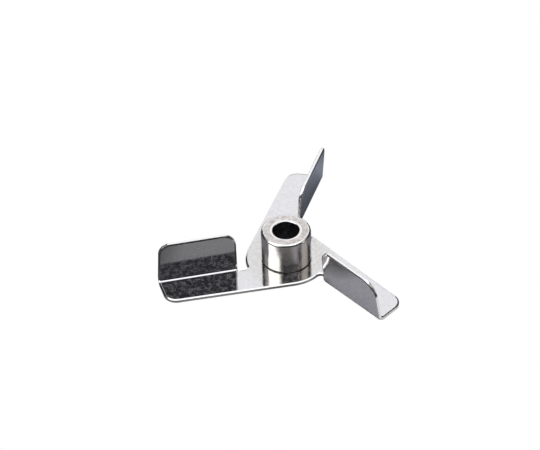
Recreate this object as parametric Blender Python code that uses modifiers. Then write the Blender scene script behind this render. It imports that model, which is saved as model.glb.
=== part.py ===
"""Three-bladed stirring impeller, in metres, +Z up.

One steel sheet is cut as three arms, the clockwise edge of each arm is folded up into a paddle, and a
turned boss with a bore for the stirrer shaft is welded through the middle of the sheet. A socket set screw
in the side of the boss clamps it on the shaft. The origin is on the axis, at the sheet's underside.
"""

import math

import bmesh
import bpy
from mathutils import Matrix, Vector

MM = 0.001

# Sheet
SHEET_THICKNESS = 1.2 * MM
ARM_COUNT = 3
FIRST_ARM_ANGLE = math.radians(191)
DISC_RADIUS = 12.3 * MM  # the round middle that the arms grow from
EDGE_TAPER = math.radians(1.2)  # how much an arm narrows towards its tip
TIP_REACH = 39.4 * MM  # from the axis to the tip, along an arm
TIP_SLANT = math.radians(5)
TIP_RADIUS = 4 * MM

# Fold and paddle, measured in an arm's own frame: x runs along the arm, y across it
FOLD_LINE = 2.7 * MM  # where the flat ends and the fold begins
FOLD_RADIUS = 0.9 * MM  # on the inside of the fold
FOLD_ANGLE = math.radians(85.5)
FOLD_STEPS = 8
PADDLE_START = 15.4 * MM
PADDLE_HEIGHT = 12.6 * MM  # above the flat's upper face
PADDLE_INNER_RADIUS = 4 * MM
# The outer ends were trimmed and rounded by hand, so each paddle has its own slant and corner,
# given anticlockwise from the first arm
PADDLE_SLANTS = (math.radians(4), math.radians(7), math.radians(1.5))
PADDLE_OUTER_RADII = (3.5 * MM, 5.5 * MM, 2 * MM)
NOTCH_RADIUS = 1.3 * MM  # at the bottom of the relief notch beside each fold

# Boss
BOSS_RADIUS = 7.5 * MM
BOSS_HEIGHT = 10.6 * MM  # above the sheet
BOSS_EDGE_BREAK = 0.3 * MM
BORE_RADIUS = 4 * MM
BORE_CHAMFER = 0.4 * MM
SPIGOT_RADIUS = 5.5 * MM
SPIGOT_END = 0.2 * MM  # above the sheet's underside
JOINT_GAP = 0.1 * MM  # between fixed pieces that touch

# Weld in the countersink under the sheet
COUNTERSINK_DEPTH = 0.9 * MM
WELD_CROWN = 0.1 * MM

# Set screw, M4 with a 2 mm hexagon socket and a cup point
SCREW_ANGLE = FIRST_ARM_ANGLE - math.pi  # opposite the first arm, so a key reaches it between the others
SCREW_LENGTH = 3 * MM
SCREW_RADIUS = 1.92 * MM
SCREW_HOLE_RADIUS = 2 * MM
SCREW_TIP_RADIUS = 1 * MM
SCREW_CUP_DEPTH = 0.5 * MM
SCREW_HEAD_CHAMFER = 0.35 * MM
SCREW_TIP_FROM_BORE = 0.1 * MM
SOCKET_ACROSS_FLATS = 2 * MM
SOCKET_DEPTH = 1.5 * MM

ROUND_STEPS = 96
SCREW_ROUND_STEPS = 48
CORNER_STEPS = 8
CUTTER_PAST = 1 * MM  # how far a cutter runs past what it cuts

SHEET_TOP = SHEET_THICKNESS
BOSS_BOTTOM = SHEET_TOP + JOINT_GAP
BOSS_TOP = SHEET_TOP + BOSS_HEIGHT
SCREW_HEIGHT = (BOSS_BOTTOM + BOSS_TOP) / 2


def clear_scene():
    for obj in list(bpy.data.objects):
        bpy.data.objects.remove(obj, do_unlink=True)


def new_collection(name):
    collection = bpy.data.collections.new(name)
    bpy.context.scene.collection.children.link(collection)
    return collection


def steel(name, colour, roughness):
    material = bpy.data.materials.new(name)
    material.use_nodes = True
    shader = material.node_tree.nodes["Principled BSDF"]
    shader.inputs["Base Color"].default_value = (*colour, 1)
    shader.inputs["Metallic"].default_value = 1
    shader.inputs["Roughness"].default_value = roughness
    return material


def new_object(name, bm, collection):
    mesh = bpy.data.meshes.new(name)
    bm.to_mesh(mesh)
    bm.free()
    obj = bpy.data.objects.new(name, mesh)
    collection.objects.link(obj)
    return obj


def shade_round(obj):
    obj.data.shade_smooth()
    obj.data.set_sharp_from_angle(angle=math.radians(30))


def turned(name, profile, collection, steps):
    """A ring or a solid of revolution from a closed profile of (radius, height) points."""
    bm = bmesh.new()
    points = [bm.verts.new((radius, 0, height)) for radius, height in profile]
    for start, end in zip(points, points[1:] + points[:1]):
        if start.co.x > 0 or end.co.x > 0:
            bm.edges.new((start, end))
    obj = new_object(name, bm, collection)
    screw = obj.modifiers.new("turn", "SCREW")
    screw.steps = screw.render_steps = steps
    screw.use_merge_vertices = True
    screw.merge_threshold = 1e-6
    return obj


def cylinder(name, radius, depth, sides, collection):
    """A hidden cutter along +Z, from its origin."""
    bm = bmesh.new()
    bmesh.ops.create_cone(
        bm,
        cap_ends=True,
        segments=sides,
        radius1=radius,
        radius2=radius,
        depth=depth,
        matrix=Matrix.Translation((0, 0, depth / 2)),
    )
    return new_object(name, bm, collection)


def hide_cutter(obj):
    obj.hide_render = True
    obj.display_type = "WIRE"


def cut(obj, cutter):
    hide_cutter(cutter)
    boolean = obj.modifiers.new("cut " + cutter.name, "BOOLEAN")
    boolean.operation = "DIFFERENCE"
    boolean.object = cutter


def arc(centre, radius, start, end, steps):
    """Points of an arc, with both ends."""
    angles = [start + (end - start) * step / steps for step in range(steps + 1)]
    return [
        Vector((centre[0] + radius * math.cos(angle), centre[1] + radius * math.sin(angle)))
        for angle in angles
    ]


def tip_x(y):
    """How far out the slanted tip of the flat is, at this distance across the arm."""
    return TIP_REACH - (y - FOLD_LINE) * math.tan(TIP_SLANT)


def arm_outline():
    """One third of the flat's outline, anticlockwise, in the arm's frame.

    It returns the points and the place of the fold's inner end among them; the outer end is the next.
    """
    pitch = 2 * math.pi / ARM_COUNT
    notch_y = FOLD_LINE - NOTCH_RADIUS
    notch_x = math.sqrt((DISC_RADIUS + NOTCH_RADIUS) ** 2 - notch_y**2)
    notch_angle = math.atan2(notch_y, notch_x)
    disc_start = math.pi / 2 - EDGE_TAPER - pitch

    points = arc((0, 0), DISC_RADIUS, disc_start, notch_angle, CORNER_STEPS)
    points += arc(
        (notch_x, notch_y), NOTCH_RADIUS, notch_angle + math.pi, math.pi / 2, CORNER_STEPS
    )[1:]
    fold = len(points)
    points += [Vector((PADDLE_START, FOLD_LINE)), Vector((TIP_REACH, FOLD_LINE))]

    # The tip's corner, between the slanted tip and the tapering edge that is tangent to the disc
    corner_y = (DISC_RADIUS - tip_x(DISC_RADIUS) * math.sin(EDGE_TAPER)) / math.cos(EDGE_TAPER)
    corner = Vector((tip_x(corner_y), corner_y))
    turn = math.pi / 2 - TIP_SLANT - EDGE_TAPER
    along_tip = Vector((-math.sin(TIP_SLANT), math.cos(TIP_SLANT)))
    reach = TIP_RADIUS * math.tan(turn / 2)
    start = corner - along_tip * reach
    centre = start - Vector((math.cos(TIP_SLANT), math.sin(TIP_SLANT))) * TIP_RADIUS
    points += arc(centre, TIP_RADIUS, TIP_SLANT, TIP_SLANT + turn, CORNER_STEPS)
    return points, fold


def raise_paddle(bm, fold_edge, placement, slant, outer_radius):
    """Spins the fold up from the flat's edge and extrudes the paddle from it."""
    along = placement.to_3x3() @ Vector((1, 0, 0))
    centre = placement @ Vector((0, FOLD_LINE, SHEET_TOP + FOLD_RADIUS))
    spun = bmesh.ops.spin(
        bm,
        geom=[fold_edge, *fold_edge.verts],
        cent=centre,
        axis=-along,
        angle=FOLD_ANGLE,
        steps=FOLD_STEPS,
    )
    last = [item for item in spun["geom_last"] if isinstance(item, bmesh.types.BMEdge)]
    raised = bmesh.ops.extrude_edge_only(bm, edges=last)["geom"]
    top = [item for item in raised if isinstance(item, bmesh.types.BMVert)]
    fold_rise = FOLD_RADIUS * (1 - math.cos(FOLD_ANGLE))
    length = (PADDLE_HEIGHT - fold_rise) / math.sin(FOLD_ANGLE)
    up = placement.to_3x3() @ Vector((0, -math.cos(FOLD_ANGLE), math.sin(FOLD_ANGLE)))
    for vert in top:
        vert.co += up * length
    inner, outer = sorted(top, key=lambda vert: (vert.co - centre).dot(along))
    outer.co -= along * length * math.tan(slant)
    for vert, radius in ((inner, PADDLE_INNER_RADIUS), (outer, outer_radius)):
        bmesh.ops.bevel(
            bm,
            geom=[vert],
            offset=radius,
            offset_type="OFFSET",
            segments=CORNER_STEPS,
            profile=0.5,
            affect="VERTICES",
        )


def blade_surface():
    """The sheet's upper face: the flat, with each paddle folded up from it."""
    bm = bmesh.new()
    outline, fold = arm_outline()
    turns = [
        Matrix.Rotation(FIRST_ARM_ANGLE + arm * 2 * math.pi / ARM_COUNT, 4, "Z")
        for arm in range(ARM_COUNT)
    ]
    verts = [bm.verts.new(turn @ Vector((x, y, SHEET_TOP))) for turn in turns for x, y in outline]
    bm.faces.new(verts)
    for arm, turn in enumerate(turns):
        start = arm * len(outline) + fold
        edge = bm.edges.get((verts[start], verts[start + 1]))
        raise_paddle(bm, edge, turn, PADDLE_SLANTS[arm], PADDLE_OUTER_RADII[arm])
    bmesh.ops.recalc_face_normals(bm, faces=bm.faces)
    bm.faces.ensure_lookup_table()
    if max(bm.faces, key=lambda face: face.calc_area()).normal.z < 0:
        bmesh.ops.reverse_faces(bm, faces=bm.faces)
    return bm


def blade_plate(parts, cutters):
    plate = new_object("blade_plate", blade_surface(), parts)
    solidify = plate.modifiers.new("sheet", "SOLIDIFY")
    solidify.thickness = SHEET_THICKNESS
    solidify.offset = -1
    solidify.use_even_offset = True

    hole = SPIGOT_RADIUS + JOINT_GAP
    profile = [
        (0, SHEET_TOP + CUTTER_PAST),
        (hole, SHEET_TOP + CUTTER_PAST),
        (hole, COUNTERSINK_DEPTH),
        (hole + COUNTERSINK_DEPTH + CUTTER_PAST, -CUTTER_PAST),
        (0, -CUTTER_PAST),
    ]
    cut(plate, turned("plate_hole", profile, cutters, ROUND_STEPS))
    plate.data.materials.append(steel("polished sheet", (0.78, 0.78, 0.8), 0.08))
    return plate


def hub(parts, cutters):
    profile = [
        (BORE_RADIUS, BOSS_TOP - BORE_CHAMFER),
        (BORE_RADIUS + BORE_CHAMFER, BOSS_TOP),
        (BOSS_RADIUS - BOSS_EDGE_BREAK, BOSS_TOP),
        (BOSS_RADIUS, BOSS_TOP - BOSS_EDGE_BREAK),
        (BOSS_RADIUS, BOSS_BOTTOM),
        (SPIGOT_RADIUS, BOSS_BOTTOM),
        (SPIGOT_RADIUS, SPIGOT_END),
        (BORE_RADIUS + BORE_CHAMFER, SPIGOT_END),
        (BORE_RADIUS, SPIGOT_END + BORE_CHAMFER),
    ]
    boss = turned("hub", profile, parts, ROUND_STEPS)
    hole = cylinder(
        "screw_hole", SCREW_HOLE_RADIUS, BOSS_RADIUS + CUTTER_PAST, SCREW_ROUND_STEPS, cutters
    )
    hole.matrix_world = radial(0)
    cut(boss, hole)
    boss.data.materials.append(steel("turned steel", (0.72, 0.69, 0.66), 0.15))
    return boss


def weld_bead(parts):
    """A ring that fills the countersink between the spigot and the sheet, ground nearly flush."""
    inner = SPIGOT_RADIUS + JOINT_GAP
    apex = COUNTERSINK_DEPTH - JOINT_GAP * math.sqrt(2)
    outer = inner + apex - SPIGOT_END
    profile = [
        (inner, apex),
        (outer, SPIGOT_END),
        ((inner + outer) / 2, SPIGOT_END - WELD_CROWN),
        (inner, SPIGOT_END),
    ]
    bead = turned("weld_bead", profile, parts, ROUND_STEPS)
    bead.data.materials.append(steel("weld metal", (0.5, 0.48, 0.45), 0.35))
    return bead


def radial(distance):
    """The frame of the screw hole: +Z out along its axis, this far from the boss's axis."""
    along_x = Matrix.Rotation(math.pi / 2, 4, "Y")
    return (
        Matrix.Translation((0, 0, SCREW_HEIGHT))
        @ Matrix.Rotation(SCREW_ANGLE, 4, "Z")
        @ Matrix.Translation((distance, 0, 0))
        @ along_x
    )


def set_screw(parts, cutters):
    point_length = SCREW_RADIUS - SCREW_TIP_RADIUS
    profile = [
        (0, SCREW_LENGTH),
        (SCREW_RADIUS - SCREW_HEAD_CHAMFER, SCREW_LENGTH),
        (SCREW_RADIUS, SCREW_LENGTH - SCREW_HEAD_CHAMFER),
        (SCREW_RADIUS, point_length),
        (SCREW_TIP_RADIUS, 0),
        (0, SCREW_CUP_DEPTH),
    ]
    screw = turned("set_screw", profile, parts, SCREW_ROUND_STEPS)
    socket = cylinder(
        "screw_socket",
        SOCKET_ACROSS_FLATS / math.sqrt(3),
        SOCKET_DEPTH + CUTTER_PAST,
        6,
        cutters,
    )
    place = radial(BORE_RADIUS + SCREW_TIP_FROM_BORE)
    screw.matrix_world = place
    socket.matrix_world = place @ Matrix.Translation((0, 0, SCREW_LENGTH - SOCKET_DEPTH))
    cut(screw, socket)
    screw.data.materials.append(steel("screw steel", (0.55, 0.55, 0.56), 0.25))
    return screw


def main():
    clear_scene()
    parts = new_collection("stirring_impeller")
    cutters = new_collection("cutters")
    shade_round(blade_plate(parts, cutters))
    shade_round(hub(parts, cutters))
    shade_round(weld_bead(parts))
    shade_round(set_screw(parts, cutters))


main()
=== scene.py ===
"""The looks of a three-bladed stirring impeller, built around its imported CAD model. Metres, +Z up."""

import math

import bmesh
import bpy
from mathutils import Matrix, Vector


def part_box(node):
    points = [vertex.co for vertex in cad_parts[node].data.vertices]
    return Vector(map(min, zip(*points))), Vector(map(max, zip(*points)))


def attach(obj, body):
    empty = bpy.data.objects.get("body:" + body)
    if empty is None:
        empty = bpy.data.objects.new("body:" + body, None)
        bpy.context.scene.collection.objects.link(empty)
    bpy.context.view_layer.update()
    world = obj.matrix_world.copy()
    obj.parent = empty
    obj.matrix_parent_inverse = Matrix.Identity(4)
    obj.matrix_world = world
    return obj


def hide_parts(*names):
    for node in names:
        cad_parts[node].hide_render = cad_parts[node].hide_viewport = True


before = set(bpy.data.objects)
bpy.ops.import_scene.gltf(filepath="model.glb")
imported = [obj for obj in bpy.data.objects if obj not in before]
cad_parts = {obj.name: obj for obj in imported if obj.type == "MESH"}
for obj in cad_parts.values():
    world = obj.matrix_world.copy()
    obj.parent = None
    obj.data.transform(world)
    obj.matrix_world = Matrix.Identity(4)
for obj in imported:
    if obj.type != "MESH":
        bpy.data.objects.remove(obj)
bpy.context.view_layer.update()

MM = 0.001
HUB_LOW, HUB_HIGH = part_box("hub")
SCREW_LOW, SCREW_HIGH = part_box("set_screw")
WELD_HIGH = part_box("weld_bead")[1]

# Blade
SHEET = 1.2 * MM
ARM_COUNT = 3
FIRST_ARM_ANGLE = math.radians(191)
DISC_RADIUS = 12.3 * MM
EDGE_TAPER = math.radians(1.2)
TIP_REACH = 39.4 * MM
TIP_SLANT = math.radians(5)
TIP_RADIUS = 4 * MM
FOLD_LINE = 2.7 * MM
FOLD_RADIUS = 0.9 * MM
FOLD_ANGLE = math.radians(85.5)
PADDLE_START = 15.4 * MM
PADDLE_HEIGHT = 12.6 * MM
PADDLE_INNER_RADIUS = 4 * MM
PADDLE_SLANTS = (math.radians(4), math.radians(7), math.radians(1.5))
PADDLE_OUTER_RADII = (3.5 * MM, 5.5 * MM, 2 * MM)
NOTCH_RADIUS = 1.3 * MM
EDGE_BREAK = (0.5 * MM, 0.2 * MM)  # how far the deburring runs in over the face, and down the cut edge
EDGE_BREAK_RADII = (0.5 * MM, 0.12 * MM)

FOLD_LENGTH = FOLD_RADIUS * FOLD_ANGLE  # along the upper face
PADDLE_LENGTH = (PADDLE_HEIGHT - FOLD_RADIUS * (1 - math.cos(FOLD_ANGLE))) / math.sin(FOLD_ANGLE)
NOTCH_CUT = PADDLE_START - 0.8 * MM  # along the arm, between the notch's rounding and the paddle

# Boss, from the CAD box where that says it
BOSS_RADIUS = HUB_HIGH.x
BOSS_TOP = HUB_HIGH.z
SPIGOT_END = HUB_LOW.z
GAP = 0.1 * MM
BOSS_BOTTOM = SHEET + GAP
BOSS_EDGE_ROUND = 0.8 * MM
PAINTED_HIGHLIGHT_RIM = 0.6 * BOSS_EDGE_ROUND  # how far down from the top the rounding gets the pale edge material, a painted highlight
BOSS_FOOT_ROUND = 0.4 * MM
BORE_RADIUS = 4 * MM
BORE_CHAMFER = 0.4 * MM
MOUTH_ROUND = 0.25 * MM
MOUTH_BREAK = (0.55 * MM, 0.1 * MM)  # the shallow cone outside the bore's rounded mouth
SPIGOT_RADIUS = 5.5 * MM
COUNTERSINK_DEPTH = 0.9 * MM

# Set screw and its tapped hole
SCREW_ANGLE = FIRST_ARM_ANGLE - math.pi
SCREW_HEIGHT = (SCREW_LOW.z + SCREW_HIGH.z) / 2
SCREW_TIP = 4.1 * MM  # from the boss's axis
SCREW_LENGTH = 3 * MM
THREAD_PITCH = 0.7 * MM
SCREW_CREST = 1.94 * MM
SCREW_ROOT = 1.62 * MM
HOLE_CREST = 2.0 * MM
HOLE_ROOT = 2.22 * MM
HOLE_MOUTH = 2.4 * MM
MOUTH_LIP = 0.1 * MM  # how deep in the boss's side the hole's countersink starts to narrow
FACE_MARGIN = 0.01 * MM  # for telling by its middle which surface a face is part of
SOCKET_ACROSS_FLATS = 2 * MM
SOCKET_DEPTH = 1.5 * MM
SOCKET_LEAD_IN = 0.3 * MM  # depth of the cone that opens the socket
DRILL_RADIUS = 0.85 * MM  # of the cone at the socket's bottom, and of the cup in the point
CUP_DEPTH = 0.45 * MM
POINT_END = (1.0 * MM, 1.1)  # radius at the screw's point, and how fast it widens from there
HEAD_END = (1.55 * MM, 1.2)

# Weld
WELD_RIPPLES = 44
WELD_RIPPLE_HEIGHT = 0.1 * MM
WELD_RIPPLE_BOW = 0.9  # how far a ripple bends round the ring, in ripples
WELD_CROWN = 0.03 * MM

ROUND_STEPS = 256
SCREW_ROUND_STEPS = 72
CORNER_STEPS = 20
FOLD_STEPS = 20
PAST = 1 * MM  # how far a cutter runs past what it cuts

# Camera
CAMERA_ELEVATION = math.radians(40.3)
CAMERA_ROLL = math.radians(-1.72)
CAMERA_DISTANCE = 895 * MM
CAMERA_RIGHT = -4.96 * MM  # from the bore's axis at the sheet's top, in the picture's own plane
CAMERA_UP = 9.56 * MM
LENS = 198.9
SENSOR = 36


# ---------------------------------------------------------------- mesh helpers


def link(name, mesh):
    obj = bpy.data.objects.new(name, mesh)
    bpy.context.scene.collection.objects.link(obj)
    return obj


def new_object(name, bm):
    mesh = bpy.data.meshes.new(name)
    bm.to_mesh(mesh)
    bm.free()
    return link(name, mesh)


def arc(centre, radius, start, end, steps):
    angles = [start + (end - start) * step / steps for step in range(steps + 1)]
    return [
        Vector((centre[0] + radius * math.cos(angle), centre[1] + radius * math.sin(angle)))
        for angle in angles
    ]


def apply_modifiers(obj):
    """Turns the object's evaluated mesh into its own mesh."""
    bpy.context.view_layer.update()
    evaluated = obj.evaluated_get(bpy.context.evaluated_depsgraph_get())
    mesh = bpy.data.meshes.new_from_object(evaluated)
    obj.modifiers.clear()
    obj.data = mesh


def cut(obj, *cutters):
    for cutter in cutters:
        boolean = obj.modifiers.new("cut", "BOOLEAN")
        boolean.operation = "DIFFERENCE"
        boolean.object = cutter
    apply_modifiers(obj)
    for cutter in cutters:
        bpy.data.objects.remove(cutter, do_unlink=True)


def shade(obj, sharp_degrees=35):
    obj.data.shade_smooth()
    obj.data.set_sharp_from_angle(angle=math.radians(sharp_degrees))
    weighted = obj.modifiers.new("even shading", "WEIGHTED_NORMAL")
    weighted.keep_sharp = True
    weighted.weight = 90  # large faces count for more, so flats stay flat beside their roundings
    apply_modifiers(obj)


def turned(name, profile, steps=ROUND_STEPS):
    """A closed profile of (radius, height) points turned about +Z."""
    bm = bmesh.new()
    rings = []
    for radius, height in profile:
        if radius < 1e-9:
            rings.append([bm.verts.new((0, 0, height))])
            continue
        angles = [2 * math.pi * step / steps for step in range(steps)]
        rings.append(
            [bm.verts.new((radius * math.cos(a), radius * math.sin(a), height)) for a in angles]
        )
    for ring, following in zip(rings, rings[1:] + rings[:1]):
        if len(ring) == 1 and len(following) == 1:
            continue
        for step in range(steps):
            after = (step + 1) % steps
            corners = [ring[step % len(ring)], ring[after % len(ring)]]
            corners += [following[after % len(following)], following[step % len(following)]]
            bm.faces.new(list(dict.fromkeys(corners)))
    bmesh.ops.recalc_face_normals(bm, faces=bm.faces)
    return new_object(name, bm)


def fillet(corner, radius, start_angle, end_angle, steps=6):
    """A rounded corner of a turned profile: the arc whose tangents meet at the corner."""
    middle = (start_angle + end_angle) / 2
    half = abs(end_angle - start_angle) / 2
    reach = radius / math.cos(half)
    centre = (corner[0] - reach * math.cos(middle), corner[1] - reach * math.sin(middle))
    return [tuple(p) for p in arc(centre, radius, start_angle, end_angle, steps)]


# ---------------------------------------------------------------- blade


def round_corner(before, corner, after, radius, steps=CORNER_STEPS):
    """The arc that rounds the corner between two straight stretches of an outline."""
    arriving = (corner - before).normalized()
    leaving = (after - corner).normalized()
    side = math.copysign(1, arriving.x * leaving.y - arriving.y * leaving.x)
    turn = arriving.angle(leaving)
    start = corner - arriving * radius * math.tan(turn / 2)
    inward = Vector((-arriving.y, arriving.x)) * side
    first = math.atan2(-inward.y, -inward.x)
    return arc(start + inward * radius, radius, first, first + side * turn, steps)


def arm_outline(slant, outer_radius):
    """One third of the blank's outline before folding, anticlockwise, in the arm's frame.

    x runs along the arm and y across it. The paddle hangs below the fold line, where y is smaller.
    """
    pitch = 2 * math.pi / ARM_COUNT
    notch_y = FOLD_LINE - NOTCH_RADIUS
    notch_x = math.sqrt((DISC_RADIUS + NOTCH_RADIUS) ** 2 - notch_y**2)
    notch_angle = math.atan2(notch_y, notch_x)
    disc_start = math.pi / 2 - EDGE_TAPER - pitch
    points = arc((0, 0), DISC_RADIUS, disc_start, notch_angle, CORNER_STEPS)
    points += arc(
        (notch_x, notch_y), NOTCH_RADIUS, notch_angle + math.pi, math.pi / 2, CORNER_STEPS
    )[1:]

    inner_root = Vector((PADDLE_START, FOLD_LINE))
    outer_root = Vector((TIP_REACH, FOLD_LINE))
    fold_end = Vector((TIP_REACH, FOLD_LINE - FOLD_LENGTH))
    inner_top = Vector((PADDLE_START, fold_end.y - PADDLE_LENGTH))
    outer_top = Vector((TIP_REACH - PADDLE_LENGTH * math.tan(slant), inner_top.y))
    points.append(inner_root)
    points += round_corner(inner_root, inner_top, outer_top, PADDLE_INNER_RADIUS)
    points += round_corner(inner_top, outer_top, fold_end, outer_radius)
    points += [fold_end, outer_root]

    tangent = Vector((math.sin(EDGE_TAPER), math.cos(EDGE_TAPER))) * DISC_RADIUS
    along_edge = Vector((math.cos(EDGE_TAPER), -math.sin(EDGE_TAPER)))
    along_tip = Vector((-math.sin(TIP_SLANT), math.cos(TIP_SLANT)))
    between = outer_root - tangent
    tip_length = (between.x * along_edge.y - between.y * along_edge.x) / (
        along_edge.x * along_tip.y - along_edge.y * along_tip.x
    )
    tip = outer_root + along_tip * tip_length
    points += round_corner(outer_root, tip, tangent, TIP_RADIUS)
    return points


def inset(outline, distance):
    """A closed anticlockwise outline moved inwards by a distance."""
    moved = []
    for before, point, after in zip(outline[-1:] + outline[:-1], outline, outline[1:] + outline[:1]):
        arriving = (point - before).normalized()
        leaving = (after - point).normalized()
        first = Vector((-arriving.y, arriving.x))
        second = Vector((-leaving.y, leaving.x))
        moved.append(point + (first + second) * distance / (1 + first.dot(second)))
    return moved


def edge_profile():
    """The deburred edge, from the face outwards: (distance in from the cut edge, depth below the face)."""
    run, drop = EDGE_BREAK
    face, start, end, rim = (Vector(p) for p in ((2 * run, 0), (run, 0), (0, drop), (0, 2 * drop)))
    points = round_corner(face, start, end, EDGE_BREAK_RADII[0], 4)
    return points + round_corner(start, end, rim, EDGE_BREAK_RADII[1], 5)


def flat_blank():
    """The sheet before folding, with its edges broken on both faces."""
    bm = bmesh.new()
    outline = []
    for arm in range(ARM_COUNT):
        turn = Matrix.Rotation(FIRST_ARM_ANGLE + arm * 2 * math.pi / ARM_COUNT, 2)
        outline += [turn @ point for point in arm_outline(PADDLE_SLANTS[arm], PADDLE_OUTER_RADII[arm])]
    loops = []
    for distance, depth in edge_profile():
        loops.append([(x, y, SHEET - depth) for x, y in inset(outline, distance)])
    for distance, depth in reversed(edge_profile()):
        loops.append([(x, y, depth) for x, y in inset(outline, distance)])
    loops = [[bm.verts.new(place) for place in loop] for loop in loops]
    bm.faces.new(loops[0])
    bm.faces.new(list(reversed(loops[-1])))
    cut_edge = len(loops) // 2 - 1  # the strip halfway between the two faces
    for index, (loop, following) in enumerate(zip(loops, loops[1:])):
        for step in range(len(loop)):
            after = (step + 1) % len(loop)
            face = bm.faces.new((loop[step], following[step], following[after], loop[after]))
            face.material_index = int(index == cut_edge)
    return bm


def fold_paddle(bm, turn):
    """Cuts rows across one arm's fold and bends what lies beyond the fold line up into a paddle."""
    back = turn.inverted()
    flat = turn.to_3x3()

    def arm_part():
        faces = [f for f in bm.faces if (back @ f.calc_center_median()).x > NOTCH_CUT]
        edges = list({e for f in faces for e in f.edges})
        return faces + edges + list({v for f in faces for v in f.verts})

    def cut_across(place, normal, parts):
        bmesh.ops.bisect_plane(
            bm, geom=parts, dist=1e-8, plane_co=turn @ Vector(place), plane_no=flat @ Vector(normal)
        )

    cut_across((NOTCH_CUT, 0, 0), (1, 0, 0), bm.faces[:] + bm.edges[:] + bm.verts[:])
    for row in range(FOLD_STEPS + 1):
        cut_across((0, FOLD_LINE - FOLD_LENGTH * row / FOLD_STEPS, 0), (0, 1, 0), arm_part())

    for vert in bm.verts:
        x, y, z = back @ vert.co
        past = FOLD_LINE - y
        if x < NOTCH_CUT or past <= 0:
            continue
        angle = min(past / FOLD_RADIUS, FOLD_ANGLE)
        beyond = max(past - FOLD_LENGTH, 0)
        radius = FOLD_RADIUS + SHEET - z
        y = FOLD_LINE - radius * math.sin(angle) - beyond * math.cos(FOLD_ANGLE)
        z = SHEET + FOLD_RADIUS - radius * math.cos(angle) + beyond * math.sin(FOLD_ANGLE)
        vert.co = turn @ Vector((x, y, z))


def make_blade():
    """The sheet, cut out flat, folded up at its three paddles and bored for the boss's spigot."""
    bm = flat_blank()
    for arm in range(ARM_COUNT):
        fold_paddle(bm, Matrix.Rotation(FIRST_ARM_ANGLE + arm * 2 * math.pi / ARM_COUNT, 4, "Z"))
    bmesh.ops.recalc_face_normals(bm, faces=bm.faces)
    blade = new_object("blade", bm)
    blade.data.materials.append(polished_sheet())
    blade.data.materials.append(ground_edge())
    hole = SPIGOT_RADIUS + GAP
    cutter = turned(
        "hole",
        [
            (0, SHEET + PAST),
            (hole, SHEET + PAST),
            (hole, COUNTERSINK_DEPTH),
            (hole + COUNTERSINK_DEPTH + PAST, -PAST),
            (0, -PAST),
        ],
    )
    cut(blade, cutter)
    shade(blade)
    return blade


# ---------------------------------------------------------------- boss, screw and weld


def radial(distance):
    """The frame of the set screw's hole: +Z out along it, this far from the boss's axis."""
    return (
        Matrix.Translation((0, 0, SCREW_HEIGHT))
        @ Matrix.Rotation(SCREW_ANGLE, 4, "Z")
        @ Matrix.Translation((distance, 0, 0))
        @ Matrix.Rotation(math.pi / 2, 4, "Y")
    )


def threaded(name, length, root, crest, ends, around=SCREW_ROUND_STEPS, per_pitch=12):
    """A threaded rod from z = 0 to its length, with cone-shaped ends of (radius, rise) at both."""
    steepness = 4.2  # of the flanks, in thread depths for each pitch
    crest_height = 1.5  # where the flanks would meet, in thread depths; the crest is flat at 1
    bm = bmesh.new()
    rows = round(length / THREAD_PITCH * per_pitch)
    rings = []
    for row in range(rows + 1):
        z = length * row / rows
        ring = []
        for step in range(around):
            angle = 2 * math.pi * step / around
            phase = (z / THREAD_PITCH - step / around) % 1
            ridge = min(max(crest_height - abs(phase - 0.5) * steepness, 0), 1)
            radius = root + (crest - root) * ridge
            for from_end, (end_radius, rise) in zip((z, length - z), ends):
                radius = min(radius, end_radius + from_end * rise)
            ring.append(bm.verts.new((radius * math.cos(angle), radius * math.sin(angle), z)))
        rings.append(ring)
    for ring, following in zip(rings, rings[1:]):
        for step in range(around):
            after = (step + 1) % around
            bm.faces.new((ring[step], ring[after], following[after], following[step]))
    bm.faces.new(list(reversed(rings[0])))
    bm.faces.new(rings[-1])
    return new_object(name, bm)


def boss_finish(face):
    """Which of the boss's materials a face has: 0 turned, 1 bored, dark as painted shade, 2 faced off, 3
    broken edge, pale as a painted highlight.
    """
    from_axis = face.center.xy.length
    in_hole = radial(0).inverted() @ face.center
    tapped = in_hole.xy.length < HOLE_MOUTH and in_hole.z > 0 and from_axis < BOSS_RADIUS - MOUTH_LIP
    bored = from_axis < BORE_RADIUS + FACE_MARGIN
    foot = face.center.z < BOSS_BOTTOM + BOSS_FOOT_ROUND
    # The bore, the tapped hole and the crevice at the foot get the dark material: painted shade.
    if tapped or bored or foot:
        return 1
    if face.normal.z > 0.999:
        return 2
    # The upper part of the top rounding gets the pale edge material: a painted highlight.
    return 3 if face.center.z > BOSS_TOP - PAINTED_HIGHLIGHT_RIM else 0


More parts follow.
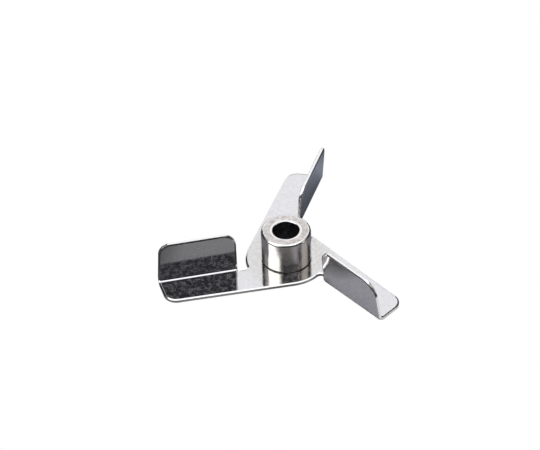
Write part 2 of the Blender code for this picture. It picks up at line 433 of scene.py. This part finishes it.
def make_boss():
    """The turned boss with its bore, its spigot and the tapped hole in its side."""
    quarter_turn = math.pi / 2
    run, drop = MOUTH_BREAK
    profile = fillet((BORE_RADIUS, BOSS_TOP - drop), MOUTH_ROUND, math.pi, quarter_turn)
    profile.append((BORE_RADIUS + MOUTH_ROUND + run, BOSS_TOP))
    profile += fillet((BOSS_RADIUS, BOSS_TOP), BOSS_EDGE_ROUND, quarter_turn, 0)
    profile += fillet((BOSS_RADIUS, BOSS_BOTTOM), BOSS_FOOT_ROUND, 0, -quarter_turn, 4)
    profile += [
        (SPIGOT_RADIUS, BOSS_BOTTOM),
        (SPIGOT_RADIUS, SPIGOT_END),
        (BORE_RADIUS + BORE_CHAMFER, SPIGOT_END),
        (BORE_RADIUS, SPIGOT_END + BORE_CHAMFER),
    ]
    boss = turned("boss", profile)
    hole_length = BOSS_RADIUS + PAST
    tap = threaded("tap", hole_length, HOLE_CREST, HOLE_ROOT, ((HOLE_ROOT, 1), (HOLE_ROOT, 1)))
    tap.matrix_world = radial(0)
    mouth_depth = HOLE_MOUTH - HOLE_CREST
    inside_crest = HOLE_CREST - 0.02 * MM
    mouth = turned(
        "mouth",
        [
            (0, -mouth_depth),
            (inside_crest, -mouth_depth),
            (HOLE_MOUTH, 0),
            (HOLE_MOUTH, PAST),
            (0, PAST),
        ],
        96,
    )
    mouth.matrix_world = radial(BOSS_RADIUS - MOUTH_LIP)
    cut(boss, tap, mouth)
    boss.data.materials.clear()
    for material in (turned_steel(), bored_steel_painted_shade(), faced_steel(), broken_edge()):
        boss.data.materials.append(material)
    for face in boss.data.polygons:
        face.material_index = boss_finish(face)
    shade(boss)
    return boss


def make_screw():
    """The set screw along +Z from its point, with its socket and cup cut out, then put in its hole."""
    screw = threaded("grub_screw", SCREW_LENGTH, SCREW_ROOT, SCREW_CREST, (POINT_END, HEAD_END))
    socket_floor = SCREW_LENGTH - SOCKET_DEPTH
    corner = SOCKET_ACROSS_FLATS / math.sqrt(3)
    over = 0.05 * MM  # how far the small cutters run past the screw's ends
    bm = bmesh.new()
    bmesh.ops.create_cone(
        bm,
        cap_ends=True,
        segments=6,
        radius1=corner,
        radius2=corner,
        depth=SOCKET_DEPTH * 2,
        matrix=Matrix.Translation((0, 0, SCREW_LENGTH)),
    )
    socket = new_object("socket", bm)
    lead_in_small, lead_in_large = corner - 0.2 * MM, corner + 0.15 * MM
    lead_in = turned(
        "lead_in",
        [
            (0, SCREW_LENGTH - SOCKET_LEAD_IN),
            (lead_in_small, SCREW_LENGTH - SOCKET_LEAD_IN),
            (lead_in_large, SCREW_LENGTH + over),
            (0, SCREW_LENGTH + over),
        ],
        SCREW_ROUND_STEPS,
    )
    drill_point, drill_top = socket_floor - 0.3 * MM, socket_floor + 0.1 * MM
    drill_profile = [(0, drill_point), (DRILL_RADIUS, drill_top), (0, drill_top)]
    drill = turned("drill", drill_profile, 48)
    cup = turned("cup", [(0, CUP_DEPTH), (DRILL_RADIUS, -over), (0, -over)], SCREW_ROUND_STEPS)
    cut(screw, socket, lead_in, drill, cup)
    screw.matrix_world = radial(SCREW_TIP)
    screw.data.materials.clear()
    screw.data.materials.append(screw_steel())
    shade(screw)
    return screw


def make_weld():
    """The ring weld in the countersink: a low bead with overlapping ripples."""
    inner = SPIGOT_RADIUS + GAP
    apex = WELD_HIGH.z
    outer = WELD_HIGH.x
    across = 14
    around = WELD_RIPPLES * 12
    fullness = 0.6  # under 1, so the bead rises steeply at its sides and is broad on top
    bm = bmesh.new()
    rings = []
    for step in range(around):
        angle = 2 * math.pi * step / around
        ring = [bm.verts.new((inner * math.cos(angle), inner * math.sin(angle), apex))]
        for row in range(across + 1):
            share = row / across
            radius = inner + (outer - inner) * share
            bow = WELD_RIPPLE_BOW * math.cos(math.pi * (share - 0.5))
            phase = (step * WELD_RIPPLES / around + bow) % 1
            crest = math.sin(math.pi * share) ** fullness
            ripple = WELD_RIPPLE_HEIGHT * (1 - phase**2) * crest
            z = SPIGOT_END - WELD_CROWN * crest - ripple
            ring.append(bm.verts.new((radius * math.cos(angle), radius * math.sin(angle), z)))
        rings.append(ring)
    for ring, following in zip(rings, rings[1:] + rings[:1]):
        for index in range(len(ring)):
            after = (index + 1) % len(ring)
            bm.faces.new((ring[index], ring[after], following[after], following[index]))
    bmesh.ops.recalc_face_normals(bm, faces=bm.faces)
    weld = new_object("ring_weld", bm)
    weld.data.materials.append(weld_metal())
    weld.data.shade_smooth()
    weld.data.set_sharp_from_angle(angle=math.radians(50))
    return weld


# ---------------------------------------------------------------- materials


class Nodes:
    """Short ways to add the nodes of one steel material."""

    def __init__(self, name):
        self.material = bpy.data.materials.new(name)
        self.material.use_nodes = True
        self.tree = self.material.node_tree
        self.shader = self.tree.nodes["Principled BSDF"]
        self.shader.inputs["Metallic"].default_value = 1
        self.place = self.tree.nodes.new("ShaderNodeTexCoord").outputs["Object"]

    def add(self, kind, inputs=None, **settings):
        node = self.tree.nodes.new("ShaderNode" + kind)
        for key, value in settings.items():
            setattr(node, key, value)
        for key, value in (inputs or {}).items():
            self.feed(node.inputs[key], value)
        return node

    def feed(self, socket, value):
        if isinstance(value, bpy.types.NodeSocket):
            self.tree.links.new(value, socket)
        else:
            socket.default_value = value

    def noise(self, size, stretch=(1, 1, 1), detail=2):
        """Noise whose patches are about this size, longer along the stretched axes."""
        mapping = self.add("Mapping", {"Vector": self.place, "Scale": [1 / s for s in stretch]})
        node = self.add(
            "TexNoise", {"Vector": mapping.outputs["Vector"], "Scale": 1 / size, "Detail": detail}
        )
        return node.outputs["Fac"]

    def line_noise(self, place, size, detail):
        """Noise along one number, for grooves that run at right angles to it."""
        inputs = {"W": place, "Scale": 1 / size, "Detail": detail}
        return self.add("TexNoise", inputs, noise_dimensions="1D").outputs["Fac"]

    def maths(self, operation, *values):
        node = self.add("Math", operation=operation)
        for socket, value in zip(node.inputs, values):
            self.feed(socket, value)
        return node.outputs["Value"]

    def ramp(self, value, low, high, start=0.3, end=0.7):
        """Turns a noise into a number between low and high."""
        node = self.add(
            "MapRange",
            {"Value": value, "From Min": start, "From Max": end, "To Min": low, "To Max": high},
        )
        return node.outputs["Result"]

    def colours(self, value, *stops):
        """Colours along a value, as (position, colour) pairs."""
        node = self.add("ValToRGB", {"Fac": value})
        elements = node.color_ramp.elements
        while len(elements) < len(stops):
            elements.new(0.5)
        for element, (position, colour) in zip(elements, stops):
            element.position = position
            element.color = (*colour, 1)
        return node.outputs["Color"]

    def blend(self, share, first, second):
        """The first colour where the share is 0 and the second where it is 1."""
        node = self.add("Mix", data_type="RGBA")
        for name, value in (("Factor_Float", share), ("A_Color", first), ("B_Color", second)):
            self.feed(next(i for i in node.inputs if i.identifier == name), value)
        return next(o for o in node.outputs if o.identifier == "Result_Color")

    def bump(self, height, depth, below=None):
        inputs = {"Height": height, "Distance": depth, "Strength": 1}
        if below is not None:
            inputs["Normal"] = below
        return self.add("Bump", inputs).outputs["Normal"]

    def finish(self, colour, roughness, normal):
        self.feed(self.shader.inputs["Base Color"], colour)
        self.feed(self.shader.inputs["Roughness"], roughness)
        self.feed(self.shader.inputs["Normal"], normal)
        return self.material


def polished_sheet():
    """Bright sheet: slow waves from rolling, a cloudy film of polish, and a warmer colour near the weld
    that is a painted reflection.
    """
    n = Nodes("polished sheet")
    waves = n.noise(4 * MM, detail=1)
    clouds = n.noise(1.3 * MM, detail=3)
    film = n.noise(1.4 * MM, detail=3)
    normal = n.bump(waves, 0.02 * MM)
    normal = n.bump(clouds, 0.003 * MM, normal)
    from_axis = n.add("VectorMath", {0: n.place}, operation="LENGTH").outputs["Value"]
    cool = n.colours(clouds, (0.35, (0.74, 0.74, 0.77)), (0.65, (0.79, 0.79, 0.81)))
    # The warmer colour close to the axis is a painted reflection.
    painted_warm_reflection = n.colours(clouds, (0.35, (0.66, 0.65, 0.64)), (0.65, (0.74, 0.735, 0.73)))
    near_boss_painted_reflection = n.ramp(from_axis, 1, 0, 10 * MM, 17 * MM)
    colour = n.blend(near_boss_painted_reflection, cool, painted_warm_reflection)
    n.feed(n.shader.inputs["Metallic"], n.ramp(film, 1, 0.88, 0.48, 0.64))
    return n.finish(colour, n.ramp(film, 0.06, 0.13), normal)


def ground_edge():
    """The sheet's cut edges: rounded on a belt, so paler and less of a mirror than the faces."""
    n = Nodes("ground edge")
    grain = n.noise(0.08 * MM, stretch=(6, 6, 1))
    normal = n.bump(grain, 0.002 * MM)
    colour = n.colours(n.noise(0.8 * MM), (0.3, (0.88, 0.88, 0.89)), (0.7, (0.95, 0.95, 0.95)))
    return n.finish(colour, n.ramp(n.noise(0.5 * MM), 0.15, 0.25), normal)


def lathe_marks(n):
    """Sets fine grooves round the axis, which smear reflections across them, and gives their bump."""
    n.shader.inputs["Anisotropic"].default_value = 0.9
    n.shader.inputs["Anisotropic Rotation"].default_value = 0.25
    tangent = n.add("Tangent", direction_type="RADIAL", axis="Z")
    n.feed(n.shader.inputs["Tangent"], tangent.outputs["Tangent"])
    parts = n.add("SeparateXYZ", {"Vector": n.place})
    flat = n.add("CombineXYZ", {"X": parts.outputs["X"], "Y": parts.outputs["Y"]})
    reach = n.add("VectorMath", {0: flat.outputs["Vector"]}, operation="LENGTH").outputs["Value"]
    along = n.maths("ADD", reach, parts.outputs["Z"])
    grooves = n.line_noise(along, 0.08 * MM, 3)
    return n.bump(grooves, 0.001 * MM, n.bump(n.noise(1.6 * MM, detail=2), 0.003 * MM))


def turned_steel():
    """The boss's side: turned, then polished."""
    n = Nodes("turned steel")
    normal = lathe_marks(n)
    clouds = n.noise(1.4 * MM, detail=3)
    colour = n.colours(clouds, (0.35, (0.72, 0.7, 0.68)), (0.65, (0.8, 0.785, 0.765)))
    return n.finish(colour, n.ramp(clouds, 0.16, 0.22), normal)


def faced_steel():
    """The boss's top: faced off on the lathe and left a little duller and blotchy."""
    n = Nodes("faced steel")
    normal = lathe_marks(n)
    clouds = n.noise(1.1 * MM, detail=4)
    colour = n.colours(clouds, (0.33, (0.5, 0.46, 0.45)), (0.64, (0.76, 0.73, 0.72)))
    return n.finish(colour, n.ramp(clouds, 0.18, 0.28), normal)


def broken_edge():
    """The boss's rounded top edge, smoothed with emery; its pale colour is a painted highlight."""
    n = Nodes("broken edge")
    clouds = n.noise(0.7 * MM, detail=3)
    colour = n.colours(clouds, (0.35, (0.84, 0.83, 0.82)), (0.65, (0.93, 0.925, 0.92)))
    return n.finish(colour, n.ramp(clouds, 0.1, 0.18), n.bump(clouds, 0.002 * MM))


def bored_steel_painted_shade():
    """The bore, the tapped hole and the joint at the foot: never polished, so dull; their dark colour is
    painted shade.
    """
    n = Nodes("bored steel in painted shade")
    height = n.add("SeparateXYZ", {"Vector": n.place}).outputs["Z"]
    grooves = n.line_noise(height, 0.1 * MM, 2)
    stains_and_shade = n.noise(1.2 * MM, detail=3)
    # Dark colours: painted shade in the bore, the hole and the foot's crevice, blotched by stains.
    colour = n.colours(stains_and_shade, (0.3, (0.14, 0.135, 0.145)), (0.7, (0.3, 0.29, 0.3)))
    return n.finish(colour, n.ramp(stains_and_shade, 0.3, 0.42), n.bump(grooves, 0.003 * MM))


def screw_steel():
    """The set screw: plain machined steel, as bought."""
    n = Nodes("screw steel")
    grain = n.noise(0.15 * MM, detail=4)
    colour = n.colours(n.noise(0.6 * MM), (0.3, (0.46, 0.46, 0.47)), (0.7, (0.6, 0.6, 0.6)))
    return n.finish(colour, n.ramp(grain, 0.2, 0.34), n.bump(grain, 0.002 * MM))


def weld_metal():
    """Weld metal with a faint straw and blue tint."""
    n = Nodes("weld metal")
    tint = n.noise(1.6 * MM, detail=3)
    colour = n.colours(
        tint, (0.3, (0.5, 0.46, 0.4)), (0.5, (0.58, 0.56, 0.53)), (0.7, (0.42, 0.43, 0.47))
    )
    grain = n.noise(0.1 * MM, detail=3)
    return n.finish(colour, n.ramp(grain, 0.22, 0.4), n.bump(grain, 0.003 * MM))


# ---------------------------------------------------------------- studio


def glow(name, colour, strength):
    """A material that gives off an even light of its own."""
    material = bpy.data.materials.new(name)
    material.use_nodes = True
    tree = material.node_tree
    tree.nodes.clear()
    emission = tree.nodes.new("ShaderNodeEmission")
    emission.inputs["Color"].default_value = (*colour, 1)
    emission.inputs["Strength"].default_value = strength
    output = tree.nodes.new("ShaderNodeOutputMaterial")
    tree.links.new(emission.outputs["Emission"], output.inputs["Surface"])
    return material


def plane(name, size, height):
    bm = bmesh.new()
    bmesh.ops.create_grid(bm, x_segments=1, y_segments=1, size=size / 2)
    bmesh.ops.translate(bm, verts=bm.verts, vec=(0, 0, height))
    return new_object(name, bm)


def seen_by(obj, camera, bounces):
    """Says whether the camera sees an object, and whether light that bounces off the steel does."""
    obj.visible_camera = camera
    obj.visible_glossy = bounces
    obj.visible_diffuse = bounces
    obj.visible_transmission = bounces
    obj.visible_shadow = bounces


def softbox(name, azimuth, elevation, width, height, radiance, colour=(1, 1, 1), distance=1.0):
    """A rectangular area light aimed at the object, in degrees and metres, with its radiance."""
    light = bpy.data.lights.new(name, "AREA")
    light.shape = "RECTANGLE"
    light.size = width
    light.size_y = height
    light.energy = radiance * math.pi * width * height
    light.color = colour
    obj = bpy.data.objects.new(name, light)
    bpy.context.scene.collection.objects.link(obj)
    azimuth, elevation = math.radians(azimuth), math.radians(elevation)
    away = Vector(
        (
            math.cos(elevation) * math.cos(azimuth),
            math.cos(elevation) * math.sin(azimuth),
            math.sin(elevation),
        )
    )
    obj.location = away * distance
    obj.rotation_euler = away.to_track_quat("Z", "Y").to_euler()
    obj.visible_camera = False
    return obj


def near_point(n, x, y, inside, outside):
    """1 within the inside distance of a point on the table, 0 past the outside one, in millimetres."""
    away = n.add("VectorMath", {0: n.place, 1: (x * MM, y * MM, 0)}, operation="DISTANCE")
    return n.ramp(away.outputs["Value"], 1, 0, inside * MM, outside * MM)


def grey_table():
    """What the steel reflects below the horizon, all painted light and shade: grey round the object and
    nearly black far from it.

    Three patches lie where one surface of the object looks. Two are painted shadows, for the boss's front
    and for its right side by the notch, and one is a painted pool of white light, for the cut end of the
    paddle on the right.
    """
    n = Nodes("grey table")
    n.shader.inputs["Metallic"].default_value = 0
    parts = n.add("SeparateXYZ", {"Vector": n.place})
    x, y = parts.outputs["X"], parts.outputs["Y"]
    # In front: painted light, dark grey on the left and paler to the right.
    painted_light_to_right = n.ramp(x, 0, 1, -12 * MM, 14 * MM)
    front = n.blend(painted_light_to_right, (0.27, 0.265, 0.27, 1), (0.46, 0.46, 0.5, 1))
    # Behind: painted shade, bluish and darkest close behind the object.
    painted_shade_fading_behind = n.ramp(y, 0, 1, 18 * MM, 40 * MM)
    back = n.blend(painted_shade_fading_behind, (0.2, 0.21, 0.25, 1), (0.3, 0.33, 0.4, 1))
    behind = n.ramp(y, 0, 1, -12 * MM, 12 * MM)
    colour = n.blend(behind, front, back)
    # A painted shadow on the table in front of the boss.
    colour = n.blend(near_point(n, 0, -17, 4, 10), colour, (0.12, 0.115, 0.11, 1))
    # A painted black shadow by the notch on the right.
    colour = n.blend(near_point(n, 12.5, -9, 2.5, 5.5), colour, (0.04, 0.04, 0.045, 1))
    # Painted shade far from the object: nearly black.
    colour = n.blend(near_point(n, 10, 0, 42, 54), (0.03, 0.03, 0.03, 1), colour)
    # A painted pool of white light, for the paddle's cut end on the right.
    colour = n.blend(near_point(n, 38, -31, 9, 13), colour, (0.95, 0.95, 0.96, 1))
    n.feed(n.shader.inputs["Base Color"], colour)
    n.shader.inputs["Roughness"].default_value = 0.9
    return n.material


def make_studio():
    """A white sweep that the camera sees, a grey table that the steel sees, and the lights."""
    world = bpy.data.worlds.new("studio")
    world.use_nodes = True
    background = world.node_tree.nodes["Background"]
    background.inputs["Color"].default_value = (1, 0.95, 1.08, 1)
    background.inputs["Strength"].default_value = 0.032
    bpy.context.scene.world = world
    bpy.context.scene.view_settings.view_transform = "Standard"

    floor = plane("floor", 8, -0.02 * MM)
    floor.data.materials.append(glow("white sweep", (1, 1, 1), 1))
    seen_by(floor, True, False)
    table = plane("table", 3, 0)
    table.data.materials.append(grey_table())
    seen_by(table, False, True)
    bm = bmesh.new()
    bmesh.ops.create_uvsphere(bm, u_segments=32, v_segments=16, radius=5)
    backdrop = new_object("backdrop", bm)
    backdrop.data.materials.append(glow("white room", (1, 1, 1), 1))
    seen_by(backdrop, True, False)

    softbox("overhead", 90, 88, 1.1, 1.0, 1.5)
    softbox("back", 85, 42, 0.75, 0.6, 0.99)
    softbox("low back", 98, 13, 1.0, 0.42, 1.0)
    softbox("left", 207, 42, 0.84, 0.7, 2.3, (1, 0.985, 0.955))
    softbox("far left", 160, 45, 0.3, 0.5, 0.4, (1, 0.97, 0.94))
    softbox("low right", -12, 10, 0.2, 0.5, 0.9)
    softbox("right", 1.5, 40, 0.56, 0.5, 0.55, (1, 0.93, 0.86))


def make_camera():
    """The camera in front of the object and above it, with its roll and framing."""
    right = Vector((1, 0, 0))
    up = Vector((0, math.sin(CAMERA_ELEVATION), math.cos(CAMERA_ELEVATION)))
    back = Vector((0, -math.cos(CAMERA_ELEVATION), math.sin(CAMERA_ELEVATION)))
    cosine, sine = math.cos(CAMERA_ROLL), math.sin(CAMERA_ROLL)
    right, up = cosine * right + sine * up, cosine * up - sine * right
    data = bpy.data.cameras.new("camera")
    data.sensor_width = SENSOR
    data.lens = LENS
    camera = bpy.data.objects.new("camera", data)
    bpy.context.scene.collection.objects.link(camera)
    place = Vector((0, 0, SHEET)) + right * CAMERA_RIGHT + up * CAMERA_UP + back * CAMERA_DISTANCE
    turn = Matrix((right, up, back)).transposed().to_4x4()
    camera.matrix_world = Matrix.Translation(place) @ turn
    bpy.context.scene.camera = camera


def main():
    make_camera()
    make_studio()
    for piece, body, node, slot in (
        (make_blade(), "impeller", "blade_plate", "sheet_steel"),
        (make_boss(), "impeller", "hub", "turned_steel"),
        (make_weld(), "impeller", "weld_bead", "weld_metal"),
        (make_screw(), "screw", "set_screw", "screw_steel"),
    ):
        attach(piece, body)
        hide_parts(node)


main()
